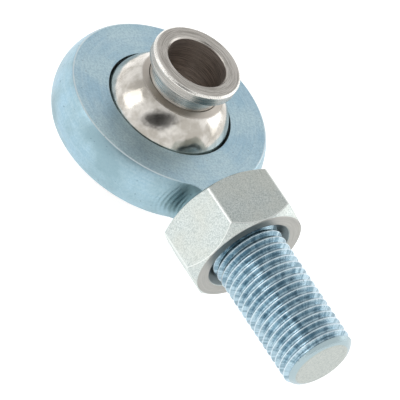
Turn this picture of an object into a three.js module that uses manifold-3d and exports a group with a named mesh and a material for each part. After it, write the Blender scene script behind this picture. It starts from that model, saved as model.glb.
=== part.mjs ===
// Rod end bearing with a male shank: a threaded eye that holds a steel ball in a
// ring-shaped race, two flanged bushings in the ball's bore, and a jam nut.
//
// Millimetres. The origin is the centre of the ball. +X runs along the threaded
// shank, away from the eye, and +Z runs along the bolt bore, out of the upper bushing.

import * as THREE from 'three';
import { mergeVertices } from 'three/addons/utils/BufferGeometryUtils.js';
import Module from 'manifold-3d';

// ---- Driving dimensions -------------------------------------------------------

// Ball, with a turned cone between its sphere and its bore
const ballRadius = 11.0;
const ballConeWidth = 1.13;
const ballConeRise = 0.55;

// Race round the ball
const ballRunningGap = 0.06;
const raceWall = 1.9;
const raceSeatGap = 0.05;
const raceEdgeChamfer = 0.3;

// Eye of the body, whose two thin lips hold the race
const eyeWall = 4.99;
const eyeHalfThickness = 4.0;
const rimCrownHeight = 1.12;
const lipThickness = 0.75;
const lipGapToBall = 0.09;
const lipEdgeChamfer = 0.1;

// Neck, threaded shank and its thread
const neckFilletRadius = 2.5;
const shankEndX = 50.0;
const threadMajorRadius = 6.0;
const threadPitch = 1.25;
const threadCrestShare = 1 / 8;
const threadRootShare = 1 / 4;
const threadFlankAngle = THREE.MathUtils.degToRad(30);
const threadStartGap = 1.25;
const threadLead = 0.34;
const tipChamferDepth = 0.8;
const tipChamferAngle = THREE.MathUtils.degToRad(45);
const tipBevelDepth = 0.7;
const tipBevelAngle = THREE.MathUtils.degToRad(23);

// Flanged bushings, a pair that slides along the ball's bore until a lip meets the ball
const boltBoreRadius = 5.0;
const bushingWall = 0.95;
const bushingSlipGap = 0.05;
const bushingSeatGap = 0.05;
const bushingEndPlay = 3.0;
const bushingLipOverhang = 1.55;
const bushingLipThickness = 2.0;
const bushingEndGap = 0.05;
const bushingEdgeChamfer = 0.28;
const bushingBoreChamfer = 0.3;

// Jam nut
const nutAcrossFlats = 18.75;
const nutThickness = 9.45;
const nutFaceInset = 0.09;
const nutInnerChamferAngle = THREE.MathUtils.degToRad(30);
const nutOuterChamferAngle = THREE.MathUtils.degToRad(45);
const nutTurn = THREE.MathUtils.degToRad(13.5);
const nutThreadGap = 0.13;
const nutMouthFlare = 1.25;

// Smoothness, in flat sides per full turn
const sidesOfEye = 64;
const sidesOfBall = 48;
const sidesOfBushing = 40;
const sidesOfThread = 20;
const stepsOfArc = 8;

// ---- Sizes that follow from them ----------------------------------------------

const bushingTubeRadius = boltBoreRadius + bushingWall;
const bushingLipRadius = bushingTubeRadius + bushingLipOverhang;

const ballBoreRadius = bushingTubeRadius + bushingSlipGap;
const ballConeRadius = ballBoreRadius + ballConeWidth;
const ballConeHeight = Math.sqrt(ballRadius ** 2 - ballConeRadius ** 2);
const ballHalfWidth = ballConeHeight + ballConeRise;

// At rest the lower lip is against the ball, so the pair sits half its play too high.
const bushingPairRise = bushingEndPlay / 2;
const bushingTubeLength = ballHalfWidth + bushingSeatGap + bushingPairRise;
const bushingLength = bushingTubeLength + bushingLipThickness;

const raceBoreRadius = ballRadius + ballRunningGap;
const raceOuterRadius = raceBoreRadius + raceWall;
const raceHalfThickness = eyeHalfThickness - lipThickness - raceSeatGap;

const grooveRadius = raceOuterRadius + raceSeatGap;
const grooveHalfWidth = raceHalfThickness + raceSeatGap;
const eyeRadius = grooveRadius + eyeWall;
const lipRadius = Math.sqrt(ballRadius ** 2 - raceHalfThickness ** 2) + lipGapToBall;

const threadCrest = threadCrestShare * threadPitch;
const threadRoot = threadRootShare * threadPitch;
const threadFlank = (threadPitch - threadCrest - threadRoot) / 2;
const threadMinorRadius = threadMajorRadius - threadFlank / Math.tan(threadFlankAngle);
const tipBevelRadius = threadMajorRadius - tipChamferDepth;
const tipFaceRadius = tipBevelRadius - tipBevelDepth;
const tipBevelX = shankEndX - tipBevelDepth * Math.tan(tipBevelAngle);

// The neck fillet touches the eye's rim and the shank, as seen along Z.
const filletCentreRadius = threadMajorRadius + neckFilletRadius;
const neckEndX = Math.sqrt((eyeRadius + neckFilletRadius) ** 2 - filletCentreRadius ** 2);
const filletReach = eyeRadius / (eyeRadius + neckFilletRadius);
const filletStart = new THREE.Vector2(filletCentreRadius, neckEndX).multiplyScalar(filletReach);
const neckRootX = (grooveRadius + filletStart.y) / 2;

const nutInnerFaceX = neckEndX;
const nutBoreRadius = threadMajorRadius + nutThreadGap;
const nutFaceRadius = nutAcrossFlats / 2 - nutFaceInset;
const nutCornerRadius = nutAcrossFlats / 2 / Math.cos(Math.PI / 6);

// ---- Shape helpers ------------------------------------------------------------

const wasm = await Module();
wasm.setup();

// A turned shape: points hold (radius, height) and the height runs along Z.
function turnedAboutZ(points, sides) {
  return new THREE.LatheGeometry(points, sides).rotateX(Math.PI / 2);
}

// The same, with the height along X.
function turnedAboutX(points, sides) {
  return new THREE.LatheGeometry(points, sides).rotateZ(-Math.PI / 2);
}

function point(radius, height) {
  return new THREE.Vector2(radius, height);
}

// Points of an arc about a centre, from one angle to another, both ends included.
function arc(centreRadius, centreHeight, radius, from, to, steps = stepsOfArc) {
  return Array.from({ length: steps + 1 }, (_, i) => {
    const angle = from + ((to - from) * i) / steps;
    return point(centreRadius + radius * Math.cos(angle), centreHeight + radius * Math.sin(angle));
  });
}

function closed(points) {
  return [...points, points[0].clone()];
}

function mirrored(points) {
  return points.map((p) => point(p.x, -p.y)).reverse();
}

// A closed geometry as a solid that can be cut and joined.
function solid(geometry) {
  const bare = geometry.clone();
  bare.deleteAttribute('normal');
  bare.deleteAttribute('uv');
  const merged = mergeVertices(bare);
  const corners = merged.index.array;
  const kept = [];
  for (let i = 0; i < corners.length; i += 3) {
    const [a, b, c] = corners.slice(i, i + 3);
    if (a !== b && b !== c && c !== a) kept.push(a, b, c);
  }
  return new wasm.Manifold(new wasm.Mesh({
    numProp: 3,
    vertProperties: Float32Array.from(merged.attributes.position.array),
    triVerts: Uint32Array.from(kept),
  }));
}

function geometryOf(body) {
  const mesh = body.getMesh();
  const geometry = new THREE.BufferGeometry();
  geometry.setAttribute('position', new THREE.BufferAttribute(mesh.vertProperties, 3));
  geometry.setIndex(new THREE.BufferAttribute(mesh.triVerts, 1));
  geometry.computeVertexNormals();
  return geometry;
}

function piece(name, geometry, colour, roughness, metalness = 1) {
  const material = new THREE.MeshStandardMaterial({ color: colour, roughness, metalness });
  const mesh = new THREE.Mesh(geometry, material);
  mesh.name = name;
  return mesh;
}

// ---- Body: eye, neck and threaded shank in one piece ----------------------------

// The ring of the eye, with a crowned rim, and a groove inside that holds the race
// between two thin lips.
function eyeRing() {
  const crown = (rimCrownHeight ** 2 + eyeHalfThickness ** 2) / (2 * rimCrownHeight);
  const spread = Math.asin(eyeHalfThickness / crown);
  const upperLip = [
    point(lipRadius + lipEdgeChamfer, eyeHalfThickness),
    point(lipRadius, eyeHalfThickness - lipEdgeChamfer),
    point(lipRadius, grooveHalfWidth),
    point(grooveRadius, grooveHalfWidth),
  ];
  const rim = arc(eyeRadius - crown, 0, crown, -spread, spread);
  return turnedAboutZ(closed([...rim, ...upperLip, ...mirrored(upperLip)]), sidesOfEye);
}

// The neck flares into the eye and is no thicker than the eye, and the round shank
// starts where the flare ends, with a short plain stretch before the thread.
function neck() {
  const plainEndX = neckEndX + threadStartGap;
  const startAngle = Math.atan2(filletStart.y - neckEndX, filletStart.x - filletCentreRadius);
  const fillet = arc(filletCentreRadius, neckEndX, neckFilletRadius, startAngle, -Math.PI);
  const flare = turnedAboutX([
    point(0, neckRootX),
    point(filletStart.x, neckRootX),
    ...fillet,
    point(threadMajorRadius, plainEndX),
    point(0, plainEndX),
  ], sidesOfBushing);
  const slab = new THREE.BoxGeometry(4 * eyeRadius, 4 * eyeRadius, 2 * eyeHalfThickness);
  const plain = turnedAboutX([
    point(0, neckEndX),
    point(threadMajorRadius, neckEndX),
    point(threadMajorRadius, plainEndX),
    point(0, plainEndX),
  ], sidesOfBushing);
  return solid(flare).intersect(solid(slab)).add(solid(plain));
}

// A right-hand thread. Row j of the lattice is a helix through point j of the thread's
// outline, so a full turn along a row ends where the row one pitch further on starts.
function threadedBar(startX, endX) {
  const outline = [
    [0, threadMajorRadius],
    [threadCrest, threadMajorRadius],
    [threadCrest + threadFlank, threadMinorRadius],
    [threadCrest + threadFlank + threadRoot, threadMinorRadius],
  ];
  const perTurn = outline.length;
  const turns = Math.ceil((endX - startX) / threadPitch);
  const rows = turns * perTurn;
  const positions = [];
  for (let j = 0; j < rows + perTurn; j += 1) {
    const [along, radius] = outline[j % perTurn];
    for (let i = 0; i < sidesOfThread; i += 1) {
      const turn = i / sidesOfThread;
      const x = startX + (Math.floor(j / perTurn) + turn) * threadPitch + along;
      const angle = turn * 2 * Math.PI;
      positions.push(x, radius * Math.cos(angle), radius * Math.sin(angle));
    }
  }
  const vertex = (i, j) => (i < sidesOfThread ? j * sidesOfThread + i : (j + perTurn) * sidesOfThread);
  const nearCentre = positions.push(startX, 0, 0) / 3 - 1;
  const farCentre = positions.push(startX + turns * threadPitch, 0, 0) / 3 - 1;
  const faces = [];
  for (let j = 0; j < rows - 1; j += 1) {
    for (let i = 0; i < sidesOfThread; i += 1) {
      faces.push(vertex(i, j), vertex(i + 1, j), vertex(i, j + 1));
      faces.push(vertex(i + 1, j), vertex(i + 1, j + 1), vertex(i, j + 1));
    }
  }
  const closeEnd = (centre, j, flip) => {
    const rim = Array.from({ length: sidesOfThread + 1 }, (_, i) => vertex(i, j));
    for (let k = perTurn - 1; k >= 0; k -= 1) rim.push(vertex(0, j + k));
    for (let k = 0; k + 1 < rim.length; k += 1) {
      faces.push(...(flip ? [centre, rim[k], rim[k + 1]] : [centre, rim[k + 1], rim[k]]));
    }
  };
  closeEnd(nearCentre, 0, false);
  closeEnd(farCentre, rows - 1, true);
  const geometry = new THREE.BufferGeometry();
  geometry.setAttribute('position', new THREE.Float32BufferAttribute(positions, 3));
  geometry.setIndex(faces);
  return geometry;
}

// The thread runs past both ends and is trimmed by a bar with a chamfered, bevelled tip.
function shank() {
  const trimRadius = threadMajorRadius + threadFlank;
  const chamferLength = (trimRadius - tipBevelRadius) * Math.tan(tipChamferAngle);
  const trim = turnedAboutX([
    point(0, neckEndX),
    point(trimRadius, neckEndX),
    point(trimRadius, tipBevelX - chamferLength),
    point(tipBevelRadius, tipBevelX),
    point(tipFaceRadius, shankEndX),
    point(0, shankEndX),
  ], sidesOfBushing);
  const startX = neckEndX + threadLead - 2 * threadPitch;
  const bar = threadedBar(startX, shankEndX + 2 * threadPitch);
  return solid(bar).intersect(solid(trim));
}

function rodEndBody() {
  const body = solid(eyeRing()).add(neck()).add(shank());
  return piece('rod_end_body', geometryOf(body), 0xa9c3d3, 0.35);
}

// ---- Race and ball --------------------------------------------------------------

function race() {
  const spread = Math.asin(raceHalfThickness / raceBoreRadius);
  const outside = [
    point(raceOuterRadius - raceEdgeChamfer, -raceHalfThickness),
    point(raceOuterRadius, raceEdgeChamfer - raceHalfThickness),
    point(raceOuterRadius, raceHalfThickness - raceEdgeChamfer),
    point(raceOuterRadius - raceEdgeChamfer, raceHalfThickness),
  ];
  const inside = arc(0, 0, raceBoreRadius, spread, -spread);
  return piece('race', turnedAboutZ(closed([...outside, ...inside]), sidesOfEye), 0x8f9496, 0.4);
}

// The sphere ends in a shallow turned cone at each side, which rises to the bore.
function ball() {
  const edge = Math.acos(ballConeRadius / ballRadius);
  const zone = arc(0, 0, ballRadius, -edge, edge, stepsOfArc * 2);
  const coneTop = point(ballBoreRadius, ballHalfWidth);
  const outline = closed([...zone, coneTop, point(coneTop.x, -coneTop.y)]);
  return piece('ball', turnedAboutZ(outline, sidesOfBall), 0xd9d3c8, 0.12);
}

// ---- Flanged bushings -------------------------------------------------------------

// The tube starts where it almost meets its twin, inside the ball.
function bushing(name, side) {
  const outline = [
    point(boltBoreRadius, bushingEndGap),
    point(bushingTubeRadius, bushingEndGap),
    point(bushingTubeRadius, bushingTubeLength),
    point(bushingLipRadius - bushingEdgeChamfer, bushingTubeLength),
    point(bushingLipRadius, bushingTubeLength + bushingEdgeChamfer),
    point(bushingLipRadius, bushingLength - bushingEdgeChamfer),
    point(bushingLipRadius - bushingEdgeChamfer, bushingLength),
    point(boltBoreRadius + bushingBoreChamfer, bushingLength),
    point(boltBoreRadius, bushingLength - bushingBoreChamfer),
  ];
  const mesh = piece(name, turnedAboutZ(closed(outline), sidesOfBushing), 0xaaa79f, 0.3);
  mesh.position.z = bushingPairRise;
  mesh.rotation.x = side > 0 ? 0 : Math.PI;
  return mesh;
}

// ---- Jam nut ----------------------------------------------------------------------

function jamNut() {
  const hexagon = new THREE.Shape(Array.from({ length: 6 }, (_, k) => {
    const angle = nutTurn + (k * Math.PI) / 3;
    return new THREE.Vector2(-nutCornerRadius * Math.sin(angle), nutCornerRadius * Math.cos(angle));
  }));
  const bar = new THREE.ExtrudeGeometry(hexagon, { depth: nutThickness, bevelEnabled: false });
  bar.rotateY(Math.PI / 2);
  const overRadius = nutCornerRadius + 1;
  const innerChamfer = (overRadius - nutFaceRadius) * Math.tan(nutInnerChamferAngle);
  const outerChamfer = (overRadius - nutFaceRadius) * Math.tan(nutOuterChamferAngle);
  const rounding = turnedAboutX([
    point(0, 0),
    point(nutFaceRadius, 0),
    point(overRadius, innerChamfer),
    point(overRadius, nutThickness - outerChamfer),
    point(nutFaceRadius, nutThickness),
    point(0, nutThickness),
  ], sidesOfBall);
  const past = 1;
  const overMouth = nutBoreRadius + nutMouthFlare + past;
  const bore = turnedAboutX([
    point(0, -past),
    point(overMouth, -past),
    point(nutBoreRadius, nutMouthFlare),
    point(nutBoreRadius, nutThickness - nutMouthFlare),
    point(overMouth, nutThickness + past),
    point(0, nutThickness + past),
  ], sidesOfBushing);
  const body = solid(bar).intersect(solid(rounding)).subtract(solid(bore));
  const mesh = piece('jam_nut', geometryOf(body), 0xc9cdcb, 0.45);
  mesh.position.x = nutInnerFaceX;
  return mesh;
}

// ---- Assembly ---------------------------------------------------------------------

const rodEnd = new THREE.Group();
rodEnd.add(rodEndBody(), race(), ball());
rodEnd.add(bushing('upper_bushing', 1), bushing('lower_bushing', -1));
rodEnd.add(jamNut());

export default rodEnd;
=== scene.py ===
"""A rod end bearing on a white studio sweep.

Every size is in millimetres until a mesh is made, and the frame is the part's own: the origin
is the centre of the ball, +X runs along the shank and +Z along the bolt bore.
"""

import math

import bmesh
import bpy
import numpy as np
from mathutils import Matrix, Vector


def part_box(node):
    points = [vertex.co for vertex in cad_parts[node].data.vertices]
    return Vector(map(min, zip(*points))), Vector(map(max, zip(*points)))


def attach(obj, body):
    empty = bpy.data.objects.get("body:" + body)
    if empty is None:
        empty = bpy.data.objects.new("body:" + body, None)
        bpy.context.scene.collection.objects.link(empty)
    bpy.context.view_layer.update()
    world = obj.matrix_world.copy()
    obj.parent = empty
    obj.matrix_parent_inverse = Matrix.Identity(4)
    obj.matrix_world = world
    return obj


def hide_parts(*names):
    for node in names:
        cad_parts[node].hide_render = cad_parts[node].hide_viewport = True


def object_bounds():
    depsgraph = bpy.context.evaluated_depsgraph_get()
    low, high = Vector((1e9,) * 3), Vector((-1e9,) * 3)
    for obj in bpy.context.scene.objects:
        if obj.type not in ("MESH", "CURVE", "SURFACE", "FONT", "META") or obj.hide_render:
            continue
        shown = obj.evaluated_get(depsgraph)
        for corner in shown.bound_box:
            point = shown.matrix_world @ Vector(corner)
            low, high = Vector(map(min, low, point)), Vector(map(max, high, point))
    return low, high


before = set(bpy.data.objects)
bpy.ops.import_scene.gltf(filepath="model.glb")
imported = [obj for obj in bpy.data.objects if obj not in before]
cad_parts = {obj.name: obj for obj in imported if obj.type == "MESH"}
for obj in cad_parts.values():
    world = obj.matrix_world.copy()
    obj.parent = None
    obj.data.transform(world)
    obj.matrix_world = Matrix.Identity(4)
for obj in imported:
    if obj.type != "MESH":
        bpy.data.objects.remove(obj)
cad_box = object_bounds()

MM = 0.001


# ---- Sizes, from the frame where it has them ---------------------------------------


def corners(node):
    """A CAD node's lowest and highest corners, in millimetres."""
    low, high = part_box(node)
    return low / MM, high / MM


BODY_HIGH = corners("rod_end_body")[1]
BALL_HIGH = corners("ball")[1]
RACE_HIGH = corners("race")[1]
BUSHING_HIGH = corners("upper_bushing")[1]
NUT_LOW, NUT_HIGH = corners("jam_nut")

EYE_RADIUS = BODY_HIGH.y
EYE_HALF = 4.0
RIM_CROWN = 1.12
EDGE_ROUND = 0.16
EYE_LIP_GAP = 0.09
FILLET_SPAN = 42
FILLET_STEP = 0.1
RIM_STEP = 0.75
RIM_LEVELS = 24
EDGE_STEPS = 5

THREAD_RADIUS = BODY_HIGH.z
THREAD_PITCH = 1.25
CREST_SHARE = 1 / 8
ROOT_SHARE = 1 / 4
FLANK_SHARE = (1 - CREST_SHARE - ROOT_SHARE) / 2
THREAD_DEPTH = THREAD_PITCH * FLANK_SHARE / math.tan(math.radians(30))
THREAD_EASE = 0.045
SHANK_END = BODY_HIGH.x
TIP_CHAMFER_DEPTH = 0.8
TIP_BEVEL_DEPTH = 0.7
TIP_BEVEL_LENGTH = 0.297
TIP_BEVEL_RADIUS = THREAD_RADIUS - TIP_CHAMFER_DEPTH
TIP_RADIUS = TIP_BEVEL_RADIUS - TIP_BEVEL_DEPTH
TIP_BEVEL = SHANK_END - TIP_BEVEL_LENGTH
TRIM_MARGIN = 0.5
NECK_END = NUT_LOW.x
STUB_LENGTH = 0.2
STUB_INSET = 0.03
THREAD_START = 1.25
THREAD_LEAD = 0.34
THREAD_RUN_IN = 1.5
THREAD_FROM = NECK_END + THREAD_LEAD - 2 * THREAD_PITCH
RIDGE_FEED = 0.38
RIDGE_HEIGHT = 0.017
RIDGES_FROM = 13.4
RIDGES_FADE = 1.5

BALL_RADIUS = BALL_HIGH.x
BALL_HALF = BALL_HIGH.z
BALL_CONE_WIDTH = 1.13
BALL_STEPS = 64
RUNNING_GAP = 0.06

RACE_RADIUS = RACE_HIGH.y
RACE_HALF = RACE_HIGH.z
RACE_STEPS = 24
SEAT_GAP = 0.05

BORE_RADIUS = 5.0
TUBE_RADIUS = 5.95
SLIP_GAP = 0.05
LIP_RADIUS = BUSHING_HIGH.x
LIP_HEIGHT = 2.0
LIP_CHAMFER = 0.28
BORE_CHAMFER = 0.3

NUT_FLATS = 18.75
NUT_FACE_INSET = 0.09
NUT_CORNER_ROUND = 0.6
NUT_CORNER = (NUT_FLATS / 2 - NUT_CORNER_ROUND) / math.cos(math.pi / 6) + NUT_CORNER_ROUND
NUT_TURN = math.radians(13.5)
NUT_INNER_CHAMFER = math.radians(30)
NUT_OUTER_CHAMFER = math.radians(45)
NUT_MOUTH_FLARE = 1.25
NUT_MOUTH_GAP = 0.13
NUT_THREAD_SHARE = 0.78
NUT_THREAD_GAP = 0.06

FLOOR_DROP = 5.2
FLOOR_HALF = 1200

SIDES = 192
THREAD_SIDES = 96
NUT_STEP = 0.3
SHARP_ANGLE = math.radians(32)


# ---- Mesh helpers ------------------------------------------------------------------


def arc(centre, radius, start, end, steps):
    """Points along an arc in the (radius, height) plane."""
    angles = np.linspace(start, end, steps + 1)
    return [(centre[0] + radius * math.cos(a), centre[1] + radius * math.sin(a)) for a in angles]


def soften(outline, steps=4):
    """Rounds the corners of a closed outline of (radius, height, reach) points.

    A radius or height may be an array, with one value for each angle round the axis. A loop
    just outside each rounding keeps the flats next to it flat."""
    shape = np.broadcast_shapes(*(np.shape(v) for p in outline for v in p[:2]))
    points = [np.array([np.broadcast_to(v, shape) for v in p[:2]], float) for p in outline]
    result = []
    for i, corner in enumerate(points):
        reach = outline[i][2] if len(outline[i]) > 2 else 0
        if not reach:
            result.append(corner)
            continue
        before = points[i - 1] - corner
        after = points[(i + 1) % len(points)] - corner
        before = before / np.maximum(np.hypot(*before), 1e-9) * reach
        after = after / np.maximum(np.hypot(*after), 1e-9) * reach
        result.append(corner + before * 1.25)
        result += [corner + before * (1 - t) ** 2 + after * t**2
                   for t in np.linspace(0, 1, steps + 1)]
        result.append(corner + after * 1.25)
    return result


def on_axis(radius, height, angles, axis):
    """Coordinates of points round the X or the Z axis."""
    a, b = radius * np.cos(angles), radius * np.sin(angles)
    return np.stack([a, b, height] if axis == "Z" else [height, a, b], -1)


def make_mesh(name, points, faces):
    """A closed mesh in metres whose faces point outwards."""
    mesh = bpy.data.meshes.new(name)
    mesh.from_pydata((np.asarray(points) * MM).tolist(), [], faces)
    tidy = bmesh.new()
    tidy.from_mesh(mesh)
    bmesh.ops.recalc_face_normals(tidy, faces=tidy.faces)
    tidy.to_mesh(mesh)
    tidy.free()
    piece = bpy.data.objects.new(name, mesh)
    bpy.context.scene.collection.objects.link(piece)
    return piece


def turned(name, outline, axis="Z", angles=None):
    """A ring-like solid: a closed outline carried once round an axis."""
    if angles is None:
        angles = np.linspace(0, 2 * math.pi, SIDES, endpoint=False)
    rows = [on_axis(np.broadcast_to(p[0], angles.shape), np.broadcast_to(p[1], angles.shape),
                    angles, axis) for p in outline]
    points = np.concatenate(rows)
    across, around = len(rows), len(angles)
    faces = []
    for j in range(across):
        here, there = j * around, (j + 1) % across * around
        faces += [(here + i, here + (i + 1) % around, there + (i + 1) % around, there + i)
                  for i in range(around)]
    return make_mesh(name, points, faces)


def bar(name, outline):
    """A solid bar along X: an outline of (radius, x) points that starts and ends on the axis."""
    angles = np.linspace(0, 2 * math.pi, SIDES, endpoint=False)
    inner = outline[1:-1]
    rows = [on_axis(np.full(SIDES, r), np.full(SIDES, x), angles, "X") for r, x in inner]
    points = [*np.concatenate(rows), (outline[0][1], 0, 0), (outline[-1][1], 0, 0)]
    first, last = len(points) - 2, len(points) - 1
    end = (len(inner) - 1) * SIDES
    faces = []
    for i in range(SIDES):
        k = (i + 1) % SIDES
        faces += [(j * SIDES + i, j * SIDES + k, (j + 1) * SIDES + k, (j + 1) * SIDES + i)
                  for j in range(len(inner) - 1)]
        faces += [(first, k, i), (last, end + i, end + k)]
    return make_mesh(name, points, faces)


def combine(piece, tool, operation):
    """Joins, cuts or trims a piece by another, which is then gone."""
    change = piece.modifiers.new("combine", "BOOLEAN")
    change.operation = operation
    change.solver = "MANIFOLD"
    change.object = tool
    graph = bpy.context.evaluated_depsgraph_get()
    mesh = bpy.data.meshes.new_from_object(piece.evaluated_get(graph))
    piece.modifiers.clear()
    piece.data = mesh
    bpy.data.objects.remove(tool)
    return piece


def finish_piece(piece, body, node, finish):
    """Shading, finish and place in the frame of a piece that stands for a CAD node."""
    piece.data.shade_smooth()
    piece.data.set_sharp_from_angle(angle=SHARP_ANGLE)
    piece.data.materials.clear()
    piece.data.materials.append(finish)
    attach(piece, body)
    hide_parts(node)
    return piece


# ---- Thread ------------------------------------------------------------------------


def thread_outline(grow=0.0):
    """One pitch of a 60 degree thread as (along, radius), with eased crests and roots."""
    top = THREAD_RADIUS + grow
    low = top - THREAD_DEPTH
    crest = THREAD_PITCH * CREST_SHARE
    root = THREAD_PITCH * ROOT_SHARE
    flank = THREAD_PITCH * FLANK_SHARE
    slope = THREAD_DEPTH / flank
    ease = THREAD_EASE
    half = [
        (0, top),
        (crest / 2 - ease / 2, top),
        (crest / 2 + ease / 3, top - slope * ease / 2),
        (crest / 2 + ease, top - slope * ease),
        (crest / 2 + flank - ease, low + slope * ease),
        (crest / 2 + flank + ease / 2, low + slope * ease / 4),
        (crest / 2 + flank + root / 2, low),
    ]
    other = [(THREAD_PITCH - along, radius) for along, radius in half[-2:0:-1]]
    return half + other


def threaded_bar(name, start, end, grow=0.0, run_in=0.0):
    """A right-hand thread whose first pitch may rise out of a plain bar.

    Row j is a helix through point j of the outline, so that a row's full turn ends where the
    row one pitch on begins."""
    outline = thread_outline(grow)
    per_turn, sides = len(outline), THREAD_SIDES
    turns = math.ceil((end - start) / THREAD_PITCH)
    rows = turns * per_turn
    j, i = np.meshgrid(np.arange(rows + per_turn), np.arange(sides), indexing="ij")
    along, radius = (np.array(column)[j % per_turn] for column in zip(*outline))
    x = start + (j // per_turn + i / sides) * THREAD_PITCH + along
    if run_in:
        share = np.clip((x - NECK_END - THREAD_START) / run_in, 0, 1)
        top = THREAD_RADIUS + grow
        radius = top - (top - radius) * share
    points = on_axis(radius, x, i / sides * 2 * math.pi, "X").reshape(-1, 3)
    points = [*points, (start, 0, 0), (start + turns * THREAD_PITCH, 0, 0)]

    def vertex(i, j):
        return j * sides + i if i < sides else (j + per_turn) * sides

    faces = [(vertex(i, j), vertex(i + 1, j), vertex(i + 1, j + 1), vertex(i, j + 1))
             for j in range(rows - 1) for i in range(sides)]
    for centre, row in ((len(points) - 2, 0), (len(points) - 1, rows - 1)):
        edge = [vertex(i, row) for i in range(sides + 1)]
        edge += [vertex(0, row + k) for k in range(per_turn - 1, -1, -1)]
        faces += [(centre, a, b) for a, b in zip(edge, edge[1:])]
    return make_mesh(name, points, faces)


# ---- Body --------------------------------------------------------------------------


def ridges(x):
    """The fine ridges that the tool leaves on the neck and on the rim next to it."""
    fade = np.clip((NECK_END - x) / RIDGE_FEED, 0, 1)
    fade = fade * np.clip((x - RIDGES_FROM) / RIDGES_FADE, 0, 1)
    return RIDGE_HEIGHT * fade * np.cos(2 * math.pi * (x - NECK_END) / RIDGE_FEED)


def eye_outline(angles, height, inset):
    """Distance from the ball's centre to the body's edge at one height, for each angle.

    A fillet runs from the crowned rim to the neck, and a short stub goes on into the shank."""
    crown = (RIM_CROWN**2 + EYE_HALF**2) / (2 * RIM_CROWN)
    rim = EYE_RADIUS - crown + math.sqrt(crown**2 - height**2) - inset
    half = math.sqrt(THREAD_RADIUS**2 - height**2) - inset
    fillet = (NECK_END**2 + half**2 - rim**2) / (2 * (rim - half))
    side = np.abs((angles + math.pi) % (2 * math.pi) - math.pi)
    towards = NECK_END * np.cos(side) + (half + fillet) * np.sin(side)
    inside = towards**2 - NECK_END**2 - (half + fillet) ** 2 + fillet**2
    neck = towards - np.sqrt(np.clip(inside, 0, None))
    edge = np.where(side > math.atan2(half + fillet, NECK_END), rim, neck)
    front = np.cos(np.minimum(side, 1))
    stub = np.clip((half - STUB_INSET) / np.sin(np.maximum(side, 1e-6)), NECK_END / front,
                   (NECK_END + STUB_LENGTH) / front)
    edge = np.where(side < math.atan2(half, NECK_END), stub, edge)
    return edge + ridges(edge * np.cos(side))


def eye_and_neck():
    """The eye with its crowned rim, eased edges, and the groove and lips round the race."""
    close = np.radians(np.arange(-FILLET_SPAN, FILLET_SPAN, FILLET_STEP))
    rest = np.radians(np.arange(FILLET_SPAN, 360 - FILLET_SPAN, RIM_STEP))
    angles = np.concatenate([close, rest])
    lip = math.sqrt(BALL_RADIUS**2 - RACE_HALF**2) + EYE_LIP_GAP
    groove = RACE_RADIUS + SEAT_GAP
    groove_half = RACE_HALF + SEAT_GAP
    turns = np.linspace(0, math.pi / 2, EDGE_STEPS + 1)
    edge = [(EDGE_ROUND * (1 - math.sin(t)), EYE_HALF - EDGE_ROUND * (1 - math.cos(t)))
            for t in turns]
    upper = [(EDGE_ROUND * 8, EYE_HALF), (EDGE_ROUND * 1.3, EYE_HALF), *edge]
    levels = np.linspace(edge[-1][1], -edge[-1][1], RIM_LEVELS + 2)[1:-1]
    side = [(0, z) for z in levels]
    lower = [(inset, -z) for inset, z in upper[::-1]]
    outer = [(eye_outline(angles, z, inset), z) for inset, z in upper + side + lower]
    hole = soften([
        (EYE_RADIUS, -EYE_HALF),
        (lip, -EYE_HALF, 0.1),
        (lip, -groove_half, 0.03),
        (groove, -groove_half),
        (groove, groove_half),
        (lip, groove_half, 0.03),
        (lip, EYE_HALF, 0.1),
        (EYE_RADIUS, EYE_HALF),
    ])[1:-1]
    return turned("rod_end", outer + [tuple(p) for p in hole], angles=angles)


def shank():
    """The threaded shank with its chamfered and bevelled tip, both with eased edges."""
    chamfer_ease, bevel_inset = 0.12, 0.04
    ease, rise = 0.2, 0.08
    face_inset, flat_loop = 0.02, 0.3
    over = THREAD_RADIUS + TRIM_MARGIN
    trim = bar("trim", [
        (0, NECK_END),
        (over, NECK_END),
        (over, TIP_BEVEL - (over - TIP_BEVEL_RADIUS)),
        (TIP_BEVEL_RADIUS + chamfer_ease, TIP_BEVEL - chamfer_ease),
        (TIP_BEVEL_RADIUS - bevel_inset, TIP_BEVEL),
        (TIP_BEVEL_RADIUS - ease, TIP_BEVEL + rise),
        (TIP_RADIUS + ease, SHANK_END - rise),
        (TIP_RADIUS, SHANK_END - face_inset),
        (TIP_RADIUS - ease, SHANK_END),
        (TIP_RADIUS - flat_loop, SHANK_END),
        (0, SHANK_END),
    ])
    end = SHANK_END + 2 * THREAD_PITCH
    thread = threaded_bar("shank", THREAD_FROM, end, run_in=THREAD_RUN_IN)
    return combine(thread, trim, "INTERSECT")


def make_body(finish):
    body = combine(eye_and_neck(), shank(), "UNION")
    return finish_piece(body, "body", "rod_end_body", finish)


# ---- Race, ball and bushings -------------------------------------------------------


def make_race(finish):
    bore = BALL_RADIUS + RUNNING_GAP
    spread = math.asin(RACE_HALF / bore)
    outline = soften([
        (RACE_RADIUS, -RACE_HALF, 0.3),
        (RACE_RADIUS, RACE_HALF, 0.3),
        *arc((0, 0), bore, spread, -spread, RACE_STEPS),
    ])
    return finish_piece(turned("race_ring", outline), "race", "race", finish)


def make_ball(finish):
    bore = TUBE_RADIUS + SLIP_GAP
    edge = math.acos((bore + BALL_CONE_WIDTH) / BALL_RADIUS)
    zone = arc((0, 0), BALL_RADIUS, -edge, edge, BALL_STEPS)
    zone[0] += (0.05,)
    zone[-1] += (0.05,)
    outline = soften([*zone, (bore, BALL_HALF, 0.07), (bore, -BALL_HALF, 0.07)])
    return finish_piece(turned("swivel_ball", outline), "ball", "ball", finish)


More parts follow.
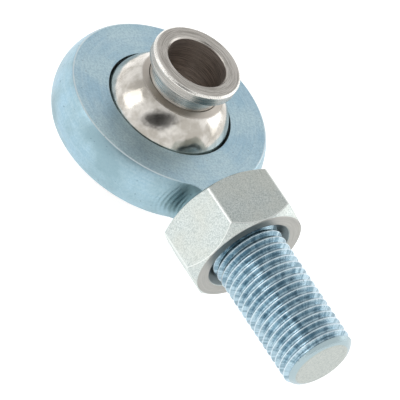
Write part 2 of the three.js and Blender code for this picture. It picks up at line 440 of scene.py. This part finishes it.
def make_bushing(name, node, side, finish):
    """A tube with a wide lip at its outer end, made upright and turned over for the lower one."""
    low, high = corners(node)
    start, reach = (low.z, high.z) if side > 0 else (-high.z, -low.z)
    under = reach - LIP_HEIGHT
    outline = soften([
        (BORE_RADIUS, start, 0.05),
        (TUBE_RADIUS, start, 0.05),
        (TUBE_RADIUS, under, 0.1),
        (LIP_RADIUS - LIP_CHAMFER / 2, under, 0.05),
        (LIP_RADIUS, under + LIP_CHAMFER / 2, 0.05),
        (LIP_RADIUS, reach - LIP_CHAMFER, 0.05),
        (LIP_RADIUS - LIP_CHAMFER, reach, 0.05),
        (BORE_RADIUS + BORE_CHAMFER, reach, 0.06),
        (BORE_RADIUS, reach - BORE_CHAMFER, 0.06),
    ])
    piece = turned(name, outline)
    if side < 0:
        piece.data.transform(Matrix.Rotation(math.pi, 4, "X"))
    return finish_piece(piece, node, node, finish)


# ---- Jam nut -----------------------------------------------------------------------


def hexagon_radius(angles):
    """Distance from the axis to a hexagon with eased corners, for each angle."""
    half = NUT_FLATS / 2
    from_flat = (angles - NUT_TURN) % (math.pi / 3) - math.pi / 6
    flat = half / np.cos(from_flat)
    from_corner = math.pi / 6 - np.abs(from_flat)
    centre = (half - NUT_CORNER_ROUND) / math.cos(math.pi / 6)
    under = np.clip(NUT_CORNER_ROUND**2 - (centre * np.sin(from_corner)) ** 2, 0, None)
    rounded = centre * np.cos(from_corner) + np.sqrt(under)
    meets = math.atan((half - NUT_CORNER_ROUND) * math.tan(math.pi / 6) / half)
    return np.where(np.abs(from_flat) > meets, rounded, flat)


def make_nut(finish):
    """The hexagon with turned chamfers, countersunk mouths and an internal thread.

    The nut's thread has its full depth from the start, while the shank's has a run-in, so the
    two overlap a little near the neck. They fit elsewhere, and after whole turns of travel."""
    angles = np.radians(np.arange(0, 360, NUT_STEP))
    side = hexagon_radius(angles)
    face = NUT_FLATS / 2 - NUT_FACE_INSET
    inner_drop = (side - face) * math.tan(NUT_INNER_CHAMFER)
    outer_drop = (side - face) * math.tan(NUT_OUTER_CHAMFER)
    bore = THREAD_RADIUS - THREAD_DEPTH * NUT_THREAD_SHARE
    mouth = THREAD_RADIUS + NUT_MOUTH_FLARE + NUT_MOUTH_GAP
    flare = mouth - bore
    low, high = NUT_LOW.x, NUT_HIGH.x
    outline = soften([
        (mouth, low, 0.08),
        (face, low, 0.1),
        (side, low + inner_drop, 0.12),
        (side, high - outer_drop, 0.12),
        (face, high, 0.1),
        (mouth, high, 0.08),
        (bore, high - flare, 0.02),
        (bore, low + flare, 0.02),
    ])
    nut = turned("hex_jam_nut", outline, "X", angles)
    tap = threaded_bar("tap", THREAD_FROM, high + 2 * THREAD_PITCH, grow=NUT_THREAD_GAP)
    nut = combine(nut, tap, "DIFFERENCE")
    return finish_piece(nut, "jam_nut", "jam_nut", finish)


# ---- Materials ---------------------------------------------------------------------


class Finish:
    """A procedural metal, built from sockets and numbers."""

    def __init__(self, name, metallic=1.0):
        self.material = bpy.data.materials.new(name)
        self.material.use_nodes = True
        self.tree = self.material.node_tree
        self.surface = self.tree.nodes["Principled BSDF"]
        self.surface.inputs["Metallic"].default_value = metallic
        place = self.tree.nodes.new("ShaderNodeTexCoord").outputs["Object"]
        self.place = self.vector("SCALE", place, scale=1 / MM)
        split = self.add("SeparateXYZ", [self.place])
        self.x, self.y, self.z = split.outputs

    def put(self, socket, value):
        if isinstance(value, bpy.types.NodeSocket):
            self.tree.links.new(value, socket)
        else:
            socket.default_value = value

    def add(self, kind, inputs=(), **settings):
        node = self.tree.nodes.new("ShaderNode" + kind)
        for key, value in settings.items():
            setattr(node, key, value)
        for socket, value in zip(node.inputs, inputs):
            self.put(socket, value)
        return node

    def math(self, operation, *values):
        return self.add("Math", values, operation=operation).outputs[0]

    def inverse(self, share):
        return self.math("SUBTRACT", 1.0, share)

    def times(self, first, second):
        return self.math("MULTIPLY", first, second)

    def vector(self, operation, *values, scale=None):
        node = self.add("VectorMath", values, operation=operation)
        if scale is not None:
            self.put(node.inputs["Scale"], scale)
        return node.outputs["Value" if operation in ("LENGTH", "DISTANCE") else "Vector"]

    def join(self, x, y, z):
        return self.add("CombineXYZ", [x, y, z]).outputs[0]

    def polar(self, axis):
        """Radius, height and unit direction round an axis."""
        a, b, height = (self.x, self.y, self.z) if axis == "Z" else (self.y, self.z, self.x)
        flat = self.join(a, b, 0)
        return self.vector("LENGTH", flat), height, self.vector("NORMALIZE", flat)

    def noise(self, place, scale, detail=2.0, roughness=0.5):
        node = self.add("TexNoise")
        for key, value in (("Vector", place), ("Scale", scale), ("Detail", detail),
                           ("Roughness", roughness)):
            self.put(node.inputs[key], value)
        return node.outputs["Fac"]

    def rings(self, axis, fine, slow=1.5):
        """Noise drawn out into the rings that a lathe leaves round an axis."""
        radius, height, way = self.polar(axis)
        across = self.math("ADD", radius, self.math("MULTIPLY", height, 1.37))
        split = self.add("SeparateXYZ", [self.vector("SCALE", way, scale=slow)])
        place = self.join(split.outputs[0], split.outputs[1], self.math("MULTIPLY", across, fine))
        return self.noise(place, 1.0, 3.0, 0.6)

    def step(self, value, low, high):
        """Rises smoothly from 0 at low to 1 at high."""
        node = self.add("MapRange", interpolation_type="SMOOTHSTEP")
        for key, number in (("Value", value), ("From Min", low), ("From Max", high)):
            self.put(node.inputs[key], number)
        return node.outputs["Result"]

    def range(self, value, low, high, to_low, to_high):
        node = self.add("MapRange")
        for key, number in (("Value", value), ("From Min", low), ("From Max", high),
                            ("To Min", to_low), ("To Max", to_high)):
            self.put(node.inputs[key], number)
        return node.outputs["Result"]

    def blend(self, share, first, second):
        """Goes from the first number to the second as the share goes from 0 to 1."""
        node = self.add("Mix")
        for key, value in (("Factor", share), ("A", first), ("B", second)):
            self.put(node.inputs[key], value)
        return node.outputs[0]

    def mix(self, share, first, second):
        """The same for colours."""
        node = self.add("Mix", data_type="RGBA")
        self.put(node.inputs["Factor"], share)
        for socket, value in ((node.inputs[6], first), (node.inputs[7], second)):
            self.put(socket, (*value, 1) if isinstance(value, tuple) else value)
        return node.outputs[2]

    def bump(self, height, strength, depth, normal=None):
        node = self.add("Bump")
        node.inputs["Strength"].default_value = strength
        node.inputs["Distance"].default_value = depth * MM
        self.put(node.inputs["Height"], height)
        if normal is not None:
            self.put(node.inputs["Normal"], normal)
        return node.outputs["Normal"]

    def finish(self, colour, roughness, normal):
        self.put(self.surface.inputs["Base Color"], colour)
        self.put(self.surface.inputs["Roughness"], roughness)
        self.put(self.surface.inputs["Normal"], normal)
        return self.material


def zinc_body():
    """Blue zinc plate over turned steel: rings on the eye, ridges on the neck, thread, with painted
    shade off the face and painted highlights on the eased edge and the crests.
    """
    f = Finish("zinc_body")
    clouds = f.noise(f.place, 0.16, 3)
    grain = f.noise(f.place, 5.0, 4, 0.75)
    radius_x = f.polar("X")[0]
    radius_z = f.polar("Z")[0]
    face = f.step(f.math("ABSOLUTE", f.z), EYE_HALF - 0.1, EYE_HALF - 0.02)
    shank = f.step(f.x, NECK_END - 0.2, NECK_END + 0.1)
    neck = f.times(f.step(f.x, RIDGES_FROM, NECK_END), f.inverse(face))
    rings = f.blend(f.math("MAXIMUM", neck, shank), f.rings("Z", 3.0), f.rings("X", 4.5, 5.0))

    eye = f.mix(f.step(clouds, 0.35, 0.65), (0.40, 0.60, 0.73), (0.54, 0.72, 0.79))
    eye = f.mix(f.range(rings, 0.35, 0.7, 0.0, 0.4), eye, (0.74, 0.88, 0.92))
    speckle = f.noise(f.place, 2.8, 3, 0.75)
    eye = f.mix(f.times(f.step(speckle, 0.40, 0.62), 0.4), eye, (0.26, 0.42, 0.53))
    # Painted shade: everything off the face (the rim, the neck and the walls of the hole) darker, in
    # cloudy patches.
    rim = f.times(f.inverse(face), f.range(clouds, 0.35, 0.65, 0.25, 0.85))
    eye = f.mix(rim, eye, (0.25, 0.38, 0.43))
    # Painted shade: the concave neck darker still.
    eye = f.mix(f.times(neck, 0.4), eye, (0.16, 0.30, 0.36))
    # Painted highlight: a pale line round the eased edge between the face and the rim.
    edge_radius = EYE_RADIUS - RIM_CROWN - EDGE_ROUND
    edge = f.math("ABSOLUTE", f.math("SUBTRACT", radius_z, edge_radius + 0.06))
    painted_edge_highlight = f.inverse(f.step(edge, 0.06, 0.16))
    painted_edge_highlight = f.times(painted_edge_highlight, f.inverse(f.step(f.x, 13.5, 15.5)))
    eye = f.mix(f.times(painted_edge_highlight, 0.6), eye, (0.86, 0.93, 0.94))

    crest = f.step(radius_x, THREAD_RADIUS - 0.12, THREAD_RADIUS - 0.02)
    patches = f.rings("X", 0.8, 5.5)
    thread = f.mix(f.step(patches, 0.36, 0.62), (0.15, 0.26, 0.32), (0.45, 0.60, 0.67))
    thread = f.mix(f.range(grain, 0.35, 0.7, 0.0, 0.3), thread, (0.36, 0.50, 0.66))
    # Painted highlight: the thread's crests paler than its flanks.
    thread = f.mix(f.times(crest, 0.65), thread, (0.70, 0.79, 0.84))
    past = f.math("MAXIMUM", f.math("SUBTRACT", radius_x, TIP_BEVEL_RADIUS), 0.0)
    tip = f.step(f.math("ADD", f.x, past), TIP_BEVEL - 0.12, TIP_BEVEL - 0.03)
    flat = f.step(f.x, SHANK_END - 0.1, SHANK_END - 0.03)
    cut = f.times(f.step(speckle, 0.35, 0.6), f.rings("X", 2.2, 1.2))
    sawn = f.mix(f.step(cut, 0.0, 0.7), (0.47, 0.50, 0.47), (0.36, 0.40, 0.38))
    thread = f.mix(tip, thread, f.mix(flat, (0.38, 0.48, 0.51), sawn))
    colour = f.mix(shank, eye, thread)

    pits = f.inverse(f.step(f.noise(f.place, 2.0, 1), 0.23, 0.27))
    colour = f.mix(f.times(pits, 0.6), colour, (0.12, 0.18, 0.24))
    normal = f.bump(rings, 0.6, 0.03)
    normal = f.bump(grain, 0.5, 0.025, normal)
    normal = f.bump(speckle, 0.5, 0.04, normal)
    normal = f.bump(f.inverse(pits), 0.6, 0.02, normal)
    satin = f.range(clouds, 0.3, 0.7, 0.32, 0.42)
    return f.finish(colour, f.blend(shank, satin, 0.22), normal)


def zinc_nut():
    """Pale satin zinc with a coarse grain, painted highlights along the edges, and painted shade on
    the turned outer face and in the mouths.
    """
    f = Finish("zinc_nut")
    grain = f.noise(f.place, 4.5, 5, 0.8)
    clouds = f.noise(f.place, 0.22, 2)
    colour = f.mix(f.step(grain, 0.36, 0.62), (0.40, 0.46, 0.45), (0.72, 0.77, 0.75))
    colour = f.mix(f.range(clouds, 0.35, 0.65, 0.0, 0.35), colour, (0.68, 0.68, 0.60))
    radius = f.polar("X")[0]
    # Painted highlight: pale lines along the arcs where the outer chamfer meets the flats, and down
    # the hexagon's corners.
    arc_line = f.math("SUBTRACT", f.math("ADD", radius, f.x),
                      NUT_FLATS / 2 - NUT_FACE_INSET + NUT_HIGH.x)
    painted_edge_highlight = f.times(f.step(arc_line, -0.22, -0.12), f.inverse(f.step(arc_line, -0.08, -0.03)))
    painted_edge_highlight = f.math("MAXIMUM", painted_edge_highlight, f.step(radius, NUT_CORNER - 0.07, NUT_CORNER - 0.01))
    colour = f.mix(f.times(painted_edge_highlight, 0.75), colour, (0.90, 0.93, 0.90))
    # Painted shade: the outer turned face darker, keeping its turning rings.
    outer = f.step(f.x, NUT_HIGH.x - 0.08, NUT_HIGH.x - 0.02)
    shaded_turned_face = f.mix(f.rings("X", 4.0), (0.28, 0.28, 0.26), (0.50, 0.49, 0.46))
    colour = f.mix(outer, colour, shaded_turned_face)
    # Painted shade: the mouths and the thread inside them dark.
    mouth = THREAD_RADIUS + NUT_MOUTH_FLARE
    inside = f.inverse(f.step(radius, mouth - 0.1, mouth + 0.1))
    colour = f.mix(inside, colour, (0.18, 0.22, 0.23))
    normal = f.bump(grain, 0.6, 0.05)
    rough = f.range(clouds, 0.3, 0.7, 0.30, 0.40)
    return f.finish(colour, rough, normal)


def ball_chrome():
    """Polished chrome on the sphere, blotched with painted reflections, and a plain turned cone at
    each end.
    """
    f = Finish("ball_chrome")
    # Painted reflections: soft blotches of darker and lighter colour over the sphere.
    clouds = f.noise(f.place, 0.3, 3, 0.6)
    polish_with_painted_reflections = f.mix(f.step(clouds, 0.35, 0.65), (0.48, 0.45, 0.40), (0.78, 0.75, 0.70))
    rings = f.rings("Z", 6.0)
    from_centre = f.vector("LENGTH", f.place)
    cone = f.inverse(f.step(from_centre, BALL_RADIUS - 0.06, BALL_RADIUS - 0.02))
    colour = f.mix(cone, polish_with_painted_reflections, (0.52, 0.48, 0.43))
    rough = f.blend(cone, f.range(clouds, 0.3, 0.7, 0.12, 0.20), 0.3)
    normal = f.bump(f.noise(f.place, 0.5, 2, 0.5), 0.5, 0.1)
    normal = f.bump(f.noise(f.place, 9.0, 3, 0.7), 0.25, 0.012, normal)
    normal = f.bump(f.times(rings, cone), 0.4, 0.02, normal)
    return f.finish(colour, rough, normal)


def bushing_steel():
    """Turned stainless steel with edges showing wear and a painted highlight, and painted shade in a
    browner bore.
    """
    f = Finish("bushing_steel")
    rings = f.rings("Z", 4.5)
    grain = f.noise(f.place, 6.0, 3, 0.7)
    radius = f.polar("Z")[0]
    colour = f.mix(f.range(rings, 0.35, 0.65, 0, 1), (0.36, 0.34, 0.31), (0.64, 0.61, 0.57))
    # Wear and painted highlight: a bright, broken line round the lip's outer chamfer.
    reach = f.math("ADD", radius, f.math("ABSOLUTE", f.z))
    rim = LIP_RADIUS + BUSHING_HIGH.z - LIP_CHAMFER
    from_rim = f.math("ABSOLUTE", f.math("SUBTRACT", reach, rim))
    edge = f.inverse(f.step(from_rim, 0.04, 0.16))
    edge = f.times(edge, f.step(grain, 0.38, 0.5))
    colour = f.mix(edge, colour, (0.95, 0.93, 0.88))
    # Painted shade: the bore browner and a little darker than the outside.
    bore = f.inverse(f.step(radius, BORE_RADIUS + 0.01, BORE_RADIUS + 0.05))
    inner = f.mix(f.step(f.rings("Z", 11.0), 0.4, 0.6), (0.30, 0.26, 0.23), (0.62, 0.55, 0.50))
    colour = f.mix(bore, colour, inner)
    normal = f.bump(rings, 0.6, 0.04)
    normal = f.bump(grain, 0.3, 0.015, normal)
    rough = f.blend(bore, f.range(rings, 0.3, 0.7, 0.20, 0.34), 0.5)
    return f.finish(colour, rough, normal)


def race_steel():
    """Plain ground steel."""
    f = Finish("race_steel")
    rings = f.rings("Z", 6.0)
    colour = f.mix(rings, (0.30, 0.31, 0.32), (0.48, 0.49, 0.49))
    return f.finish(colour, f.range(rings, 0.3, 0.7, 0.3, 0.45), f.bump(rings, 0.3, 0.02))


# ---- Studio ------------------------------------------------------------------------


def make_floor():
    """A white sweep, low enough for the bushings at the end of their slide and tilt."""
    low = cad_box[0][2] / MM - FLOOR_DROP
    half = FLOOR_HALF
    corners_of_floor = [(-half, -half, low), (half, -half, low), (half, half, low), (-half, half, low)]
    floor = make_mesh("floor", corners_of_floor, [(0, 1, 2, 3)])
    white = bpy.data.materials.new("floor_white")
    white.use_nodes = True
    surface = white.node_tree.nodes["Principled BSDF"]
    surface.inputs["Base Color"].default_value = (0.78, 0.78, 0.78, 1)
    surface.inputs["Roughness"].default_value = 0.9
    surface.inputs["Emission Color"].default_value = (1, 1, 1, 1)
    surface.inputs["Emission Strength"].default_value = 0.62
    floor.data.materials.append(white)


def make_light(name, place, aim, size, power):
    light = bpy.data.lights.new(name, "AREA")
    light.shape = "RECTANGLE"
    light.size, light.size_y = (v * MM for v in size)
    light.energy = power
    lamp = bpy.data.objects.new(name, light)
    lamp.location = Vector(place) * MM
    way = (Vector(aim) - Vector(place)).normalized()
    lamp.rotation_euler = way.to_track_quat("-Z", "Y").to_euler()
    bpy.context.scene.collection.objects.link(lamp)


def make_world():
    """A white tent with a dimmer roof, and the dark opening that the camera looks through."""
    world = bpy.data.worlds.new("studio")
    bpy.context.scene.world = world
    world.use_nodes = True
    nodes, links = world.node_tree.nodes, world.node_tree.links
    direction = nodes.new("ShaderNodeTexCoord").outputs["Generated"]

    def math_node(operation, *values):
        node = nodes.new("ShaderNodeMath")
        node.operation = operation
        for socket, value in zip(node.inputs, values):
            links.new(value, socket)
        return node.outputs["Value"]

    def along(axis):
        node = nodes.new("ShaderNodeVectorMath")
        node.operation = "DOT_PRODUCT"
        node.inputs[1].default_value = axis
        links.new(direction, node.inputs[0])
        return node.outputs["Value"]

    def fade(value, start, full, first, last):
        node = nodes.new("ShaderNodeMapRange")
        node.interpolation_type = "SMOOTHSTEP"
        for key, number in (("From Min", start), ("From Max", full),
                            ("To Min", first), ("To Max", last)):
            node.inputs[key].default_value = number
        links.new(value, node.inputs["Value"])
        return node.outputs["Result"]

    opening = Vector((0.42, -0.65, 0.63)).normalized()
    wide = Vector((0.50, 0.745, 0.44))
    tall = opening.cross(wide).normalized()
    wide = tall.cross(opening)
    reach = math_node("ADD", fade(math_node("ABSOLUTE", along(wide)), 0.0, 0.95, 0.0, 1.0),
                      fade(math_node("ABSOLUTE", along(tall)), 0.0, 0.50, 0.0, 1.0))
    above = Vector((-0.35, 0.1, 0.9)).normalized()
    roof_strength, opening_strength = 0.66, 0.03
    roof = fade(along(above), 0.35, 1.0, 1.0, roof_strength)
    sky = nodes["Background"]
    sky.inputs["Color"].default_value = (1, 1, 1, 1)
    strength = math_node("MULTIPLY", roof, fade(reach, 0.25, 0.8, opening_strength, 1.0))
    links.new(strength, sky.inputs["Strength"])


def make_lights():
    centre = (15, 0, 0)
    make_light("softbox_left", (-300, -440, 250), centre, (240, 300), 0.32)
    make_light("softbox_right", (200, 520, 170), centre, (300, 300), 0.25)
    make_world()


def make_camera():
    """A long lens above the front right of the part, rolled so that the shank points down."""
    azimuth, elevation, roll = (math.radians(v) for v in (32.58, 39.05, 34.51))
    distance = 691.9
    focal = 394.4
    aim = Vector((12.786, 3.124, -5.241))
    level = Vector((math.cos(azimuth), math.sin(azimuth), 0))
    back = Vector((math.sin(azimuth) * math.cos(elevation),
                   -math.cos(azimuth) * math.cos(elevation), math.sin(elevation)))
    upright = back.cross(level)
    right = level * math.cos(roll) + upright * math.sin(roll)
    up = back.cross(right)
    camera = bpy.data.cameras.new("camera")
    camera.lens = focal
    camera.sensor_width = 36
    camera.clip_end = 10
    holder = bpy.data.objects.new("camera", camera)
    pose = Matrix((right, up, back)).transposed().to_4x4()
    pose.translation = (aim + back * distance) * MM
    holder.matrix_world = pose
    bpy.context.scene.collection.objects.link(holder)
    bpy.context.scene.camera = holder


# ---- Scene -------------------------------------------------------------------------

make_body(zinc_body())
make_race(race_steel())
make_ball(ball_chrome())
steel = bushing_steel()
make_bushing("bushing_upper", "upper_bushing", 1, steel)
make_bushing("bushing_lower", "lower_bushing", -1, steel)
make_nut(zinc_nut())
make_floor()
make_lights()
make_camera()
bpy.context.scene.view_settings.view_transform = "Standard"
